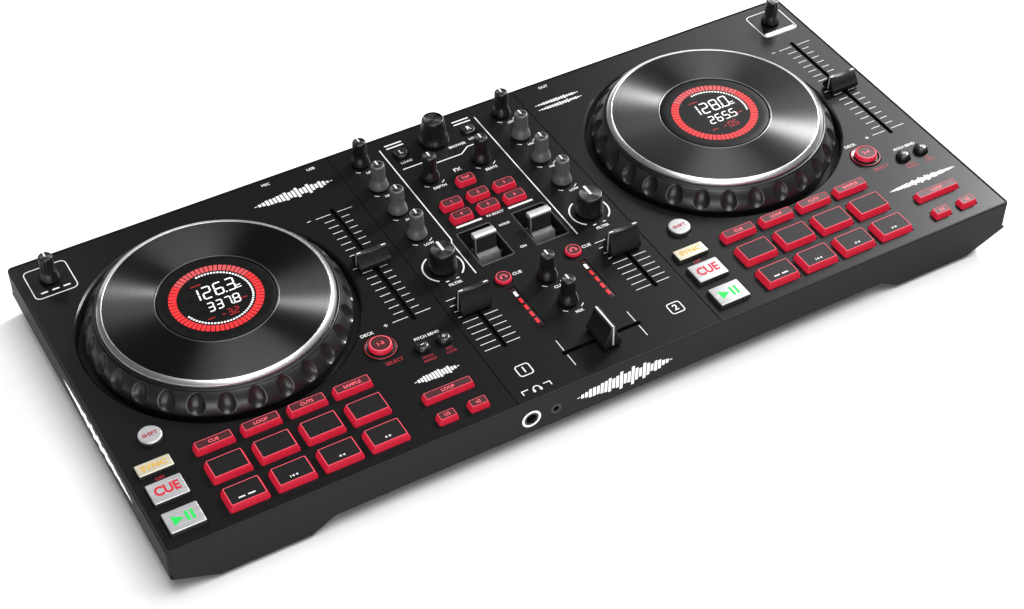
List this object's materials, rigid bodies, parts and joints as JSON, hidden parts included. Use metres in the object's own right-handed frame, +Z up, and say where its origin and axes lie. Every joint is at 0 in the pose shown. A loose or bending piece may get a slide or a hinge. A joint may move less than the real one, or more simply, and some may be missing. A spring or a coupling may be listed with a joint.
{
  "type": "dj controller",
  "caption": "Tabletop DJ controller: two jog-wheel decks with performance pads and pitch faders, and a centre mixer with knobs, paddles, meters and faders.",
  "frame": {"origin": "on the table, under the middle of the case's bounding box", "axes": "+X to the user's right along the case, +Y away from the user, +Z up"},
  "size_m": [0.523, 0.233, 0.0499],
  "materials": {
    "faceplate_metal": "fine brushed, dark anodised",
    "case_plastic": "fine moulded texture",
    "foot_rubber": "matte",
    "screw_steel": "dark zinc",
    "board_laminate": "solder mask",
    "component_metal": "plain",
    "lamp_plastic": "translucent",
    "socket_plastic": "moulded",
    "display_glass": "polished lens",
    "jog_plastic": "gloss",
    "jog_metal": "round brushed with a polished bevel",
    "fader_cap": "satin",
    "knob_black": "soft touch",
    "knob_grey": "soft touch",
    "paddle_metal": "satin",
    "button_silver": "satin silver",
    "button_dark": "gloss",
    "pad_red": "silicone"
  },
  "bodies": {
    "chassis": {"faceplate": "faceplate_metal", "upper_case": "case_plastic", "lower_case": "case_plastic", "rubber_feet": "foot_rubber", "case_screws": "screw_steel", "circuit_boards": "board_laminate", "rotary_potentiometers": "component_metal", "fader_tracks": "component_metal", "level_meters": "lamp_plastic", "headphone_jacks": "socket_plastic", "rear_sockets": "socket_plastic", "jog_posts": "case_plastic", "jog_displays": "display_glass"},
    "jog_left": {"jog_wheel_left": "jog_plastic", "jog_plate_left": "jog_metal"},
    "jog_right": {"jog_wheel_right": "jog_plastic", "jog_plate_right": "jog_metal"},
    "pitch_fader_left": {"pitch_fader_left": "fader_cap"},
    "pitch_fader_right": {"pitch_fader_right": "fader_cap"},
    "channel_fader_left": {"channel_fader_left": "fader_cap"},
    "channel_fader_right": {"channel_fader_right": "fader_cap"},
    "crossfader": {"crossfader": "fader_cap"},
    "level_knob_left": {"level_knob_left": "knob_black"},
    "high_knob_left": {"high_knob_left": "knob_grey"},
    "mid_knob_left": {"mid_knob_left": "knob_grey"},
    "low_knob_left": {"low_knob_left": "knob_grey"},
    "filter_knob_left": {"filter_knob_left": "knob_black"},
    "level_knob_right": {"level_knob_right": "knob_black"},
    "high_knob_right": {"high_knob_right": "knob_grey"},
    "mid_knob_right": {"mid_knob_right": "knob_grey"},
    "low_knob_right": {"low_knob_right": "knob_grey"},
    "filter_knob_right": {"filter_knob_right": "knob_black"},
    "browse_knob": {"browse_knob": "knob_black"},
    "effect_depth_knob": {"effect_depth_knob": "knob_black"},
    "effect_beats_knob": {"effect_beats_knob": "knob_black"},
    "headphone_level_knob": {"headphone_level_knob": "knob_black"},
    "headphone_mix_knob": {"headphone_mix_knob": "knob_black"},
    "mic_level_knob": {"mic_level_knob": "knob_black"},
    "main_level_knob": {"main_level_knob": "knob_black"},
    "effect_paddle_left": {"effect_paddle_left": "paddle_metal"},
    "effect_paddle_right": {"effect_paddle_right": "paddle_metal"},
    "shift_button_left": {"shift_button_left": "button_silver"},
    "sync_button_left": {"sync_button_left": "button_silver"},
    "cue_button_left": {"cue_button_left": "button_silver"},
    "play_button_left": {"play_button_left": "button_silver"},
    "deck_select_button_left": {"deck_select_button_left": "pad_red"},
    "mode_keys_left": {"mode_keys_left": "pad_red"},
    "pads_left": {"pads_left": "pad_red"},
    "loop_and_bend_keys_left": {"loop_and_bend_keys_left": "button_dark"},
    "shift_button_right": {"shift_button_right": "button_silver"},
    "sync_button_right": {"sync_button_right": "button_silver"},
    "cue_button_right": {"cue_button_right": "button_silver"},
    "play_button_right": {"play_button_right": "button_silver"},
    "deck_select_button_right": {"deck_select_button_right": "pad_red"},
    "mode_keys_right": {"mode_keys_right": "pad_red"},
    "pads_right": {"pads_right": "pad_red"},
    "loop_and_bend_keys_right": {"loop_and_bend_keys_right": "button_dark"},
    "effect_keys": {"effect_keys": "pad_red"},
    "load_buttons": {"load_buttons": "button_dark"},
    "headphone_cue_buttons": {"headphone_cue_buttons": "button_dark"}
  },
  "joints": [
    {"name": "jog_left_spin", "type": "hinge", "parent": "chassis", "child": "jog_left", "pos_m": [-0.1735, 0.0224, 0.033], "axis": [0, 0, 1], "continuous": true},
    {"name": "jog_right_spin", "type": "hinge", "parent": "chassis", "child": "jog_right", "pos_m": [0.1485, 0.0224, 0.033], "axis": [0, 0, 1], "continuous": true},
    {"name": "pitch_fader_left_slide", "type": "slide", "parent": "chassis", "child": "pitch_fader_left", "axis": [0, 1, 0], "range_m": [-0.05, 0.05]},
    {"name": "pitch_fader_right_slide", "type": "slide", "parent": "chassis", "child": "pitch_fader_right", "axis": [0, 1, 0], "range_m": [-0.05, 0.05]},
    {"name": "channel_fader_left_slide", "type": "slide", "parent": "chassis", "child": "channel_fader_left", "axis": [0, 1, 0], "range_m": [-0.0339, 0.0111]},
    {"name": "channel_fader_right_slide", "type": "slide", "parent": "chassis", "child": "channel_fader_right", "axis": [0, 1, 0], "range_m": [-0.0339, 0.0111]},
    {"name": "crossfader_slide", "type": "slide", "parent": "chassis", "child": "crossfader", "axis": [1, 0, 0], "range_m": [-0.0238, 0.0212]},
    {"name": "level_knob_left_turn", "type": "hinge", "parent": "chassis", "child": "level_knob_left", "pos_m": [-0.0492, 0.1005, 0.033], "axis": [0, 0, 1], "range_deg": [-150, 150]},
    {"name": "high_knob_left_turn", "type": "hinge", "parent": "chassis", "child": "high_knob_left", "pos_m": [-0.0492, 0.0764, 0.033], "axis": [0, 0, 1], "range_deg": [-150, 150]},
    {"name": "mid_knob_left_turn", "type": "hinge", "parent": "chassis", "child": "mid_knob_left", "pos_m": [-0.0492, 0.0523, 0.033], "axis": [0, 0, 1], "range_deg": [-150, 150]},
    {"name": "low_knob_left_turn", "type": "hinge", "parent": "chassis", "child": "low_knob_left", "pos_m": [-0.0492, 0.0282, 0.033], "axis": [0, 0, 1], "range_deg": [-150, 150]},
    {"name": "filter_knob_left_turn", "type": "hinge", "parent": "chassis", "child": "filter_knob_left", "pos_m": [-0.0492, -0.0028, 0.033], "axis": [0, 0, 1], "range_deg": [-150, 150]},
    {"name": "level_knob_right_turn", "type": "hinge", "parent": "chassis", "child": "level_knob_right", "pos_m": [0.0462, 0.1005, 0.033], "axis": [0, 0, 1], "range_deg": [-150, 150]},
    {"name": "high_knob_right_turn", "type": "hinge", "parent": "chassis", "child": "high_knob_right", "pos_m": [0.0462, 0.0764, 0.033], "axis": [0, 0, 1], "range_deg": [-150, 150]},
    {"name": "mid_knob_right_turn", "type": "hinge", "parent": "chassis", "child": "mid_knob_right", "pos_m": [0.0462, 0.0523, 0.033], "axis": [0, 0, 1], "range_deg": [-150, 150]},
    {"name": "low_knob_right_turn", "type": "hinge", "parent": "chassis", "child": "low_knob_right", "pos_m": [0.0462, 0.0282, 0.033], "axis": [0, 0, 1], "range_deg": [-150, 150]},
    {"name": "filter_knob_right_turn", "type": "hinge", "parent": "chassis", "child": "filter_knob_right", "pos_m": [0.0462, -0.0028, 0.033], "axis": [0, 0, 1], "range_deg": [-150, 150]},
    {"name": "browse_knob_turn", "type": "hinge", "parent": "chassis", "child": "browse_knob", "pos_m": [-0.0015, 0.0983, 0.033], "axis": [0, 0, 1], "continuous": true},
    {"name": "effect_depth_knob_turn", "type": "hinge", "parent": "chassis", "child": "effect_depth_knob", "pos_m": [-0.0195, 0.0688, 0.033], "axis": [0, 0, 1], "range_deg": [-150, 150]},
    {"name": "effect_beats_knob_turn", "type": "hinge", "parent": "chassis", "child": "effect_beats_knob", "pos_m": [0.0147, 0.0688, 0.033], "axis": [0, 0, 1], "range_deg": [-150, 150]},
    {"name": "headphone_level_knob_turn", "type": "hinge", "parent": "chassis", "child": "headphone_level_knob", "pos_m": [-0.0023, -0.0377, 0.033], "axis": [0, 0, 1], "range_deg": [-150, 150]},
    {"name": "headphone_mix_knob_turn", "type": "hinge", "parent": "chassis", "child": "headphone_mix_knob", "pos_m": [-0.0023, -0.0602, 0.033], "axis": [0, 0, 1], "range_deg": [-150, 150]},
    {"name": "mic_level_knob_turn", "type": "hinge", "parent": "chassis", "child": "mic_level_knob", "pos_m": [-0.243, 0.097, 0.033], "axis": [0, 0, 1], "range_deg": [-150, 150]},
    {"name": "main_level_knob_turn", "type": "hinge", "parent": "chassis", "child": "main_level_knob", "pos_m": [0.243, 0.097, 0.033], "axis": [0, 0, 1], "range_deg": [-150, 150]},
    {"name": "effect_paddle_left_tilt", "type": "hinge", "parent": "chassis", "child": "effect_paddle_left", "pos_m": [-0.0194, 0.0025, 0.023], "axis": [1, 0, 0], "range_deg": [-14, 14], "stiffness_Nm_per_rad": 0.05},
    {"name": "effect_paddle_right_tilt", "type": "hinge", "parent": "chassis", "child": "effect_paddle_right", "pos_m": [0.0164, 0.0025, 0.023], "axis": [1, 0, 0], "range_deg": [-14, 14], "stiffness_Nm_per_rad": 0.05},
    {"name": "shift_button_left_press", "type": "slide", "parent": "chassis", "child": "shift_button_left", "axis": [0, 0, -1], "range_m": [0, 0.0008], "stiffness_N_per_m": 250, "springref_m": -0.001},
    {"name": "sync_button_left_press", "type": "slide", "parent": "chassis", "child": "sync_button_left", "axis": [0, 0, -1], "range_m": [0, 0.0008], "stiffness_N_per_m": 250, "springref_m": -0.001},
    {"name": "cue_button_left_press", "type": "slide", "parent": "chassis", "child": "cue_button_left", "axis": [0, 0, -1], "range_m": [0, 0.0008], "stiffness_N_per_m": 250, "springref_m": -0.001},
    {"name": "play_button_left_press", "type": "slide", "parent": "chassis", "child": "play_button_left", "axis": [0, 0, -1], "range_m": [0, 0.0008], "stiffness_N_per_m": 250, "springref_m": -0.001},
    {"name": "deck_select_button_left_press", "type": "slide", "parent": "chassis", "child": "deck_select_button_left", "axis": [0, 0, -1], "range_m": [0, 0.0008], "stiffness_N_per_m": 250, "springref_m": -0.001},
    {"name": "mode_keys_left_press", "type": "slide", "parent": "chassis", "child": "mode_keys_left", "axis": [0, 0, -1], "range_m": [0, 0.0008], "stiffness_N_per_m": 400, "springref_m": -0.001},
    {"name": "pads_left_press", "type": "slide", "parent": "chassis", "child": "pads_left", "axis": [0, 0, -1], "range_m": [0, 0.0008], "stiffness_N_per_m": 1500, "springref_m": -0.001},
    {"name": "loop_and_bend_keys_left_press", "type": "slide", "parent": "chassis", "child": "loop_and_bend_keys_left", "axis": [0, 0, -1], "range_m": [0, 0.0008], "stiffness_N_per_m": 500, "springref_m": -0.001},
    {"name": "shift_button_right_press", "type": "slide", "parent": "chassis", "child": "shift_button_right", "axis": [0, 0, -1], "range_m": [0, 0.0008], "stiffness_N_per_m": 250, "springref_m": -0.001},
    {"name": "sync_button_right_press", "type": "slide", "parent": "chassis", "child": "sync_button_right", "axis": [0, 0, -1], "range_m": [0, 0.0008], "stiffness_N_per_m": 250, "springref_m": -0.001},
    {"name": "cue_button_right_press", "type": "slide", "parent": "chassis", "child": "cue_button_right", "axis": [0, 0, -1], "range_m": [0, 0.0008], "stiffness_N_per_m": 250, "springref_m": -0.001},
    {"name": "play_button_right_press", "type": "slide", "parent": "chassis", "child": "play_button_right", "axis": [0, 0, -1], "range_m": [0, 0.0008], "stiffness_N_per_m": 250, "springref_m": -0.001},
    {"name": "deck_select_button_right_press", "type": "slide", "parent": "chassis", "child": "deck_select_button_right", "axis": [0, 0, -1], "range_m": [0, 0.0008], "stiffness_N_per_m": 250, "springref_m": -0.001},
    {"name": "mode_keys_right_press", "type": "slide", "parent": "chassis", "child": "mode_keys_right", "axis": [0, 0, -1], "range_m": [0, 0.0008], "stiffness_N_per_m": 400, "springref_m": -0.001},
    {"name": "pads_right_press", "type": "slide", "parent": "chassis", "child": "pads_right", "axis": [0, 0, -1], "range_m": [0, 0.0008], "stiffness_N_per_m": 1500, "springref_m": -0.001},
    {"name": "loop_and_bend_keys_right_press", "type": "slide", "parent": "chassis", "child": "loop_and_bend_keys_right", "axis": [0, 0, -1], "range_m": [0, 0.0008], "stiffness_N_per_m": 500, "springref_m": -0.001},
    {"name": "effect_keys_press", "type": "slide", "parent": "chassis", "child": "effect_keys", "axis": [0, 0, -1], "range_m": [0, 0.0008], "stiffness_N_per_m": 600, "springref_m": -0.001},
    {"name": "load_buttons_press", "type": "slide", "parent": "chassis", "child": "load_buttons", "axis": [0, 0, -1], "range_m": [0, 0.0008], "stiffness_N_per_m": 250, "springref_m": -0.001},
    {"name": "headphone_cue_buttons_press", "type": "slide", "parent": "chassis", "child": "headphone_cue_buttons", "axis": [0, 0, -1], "range_m": [0, 0.0008], "stiffness_N_per_m": 250, "springref_m": -0.001}
  ]
}
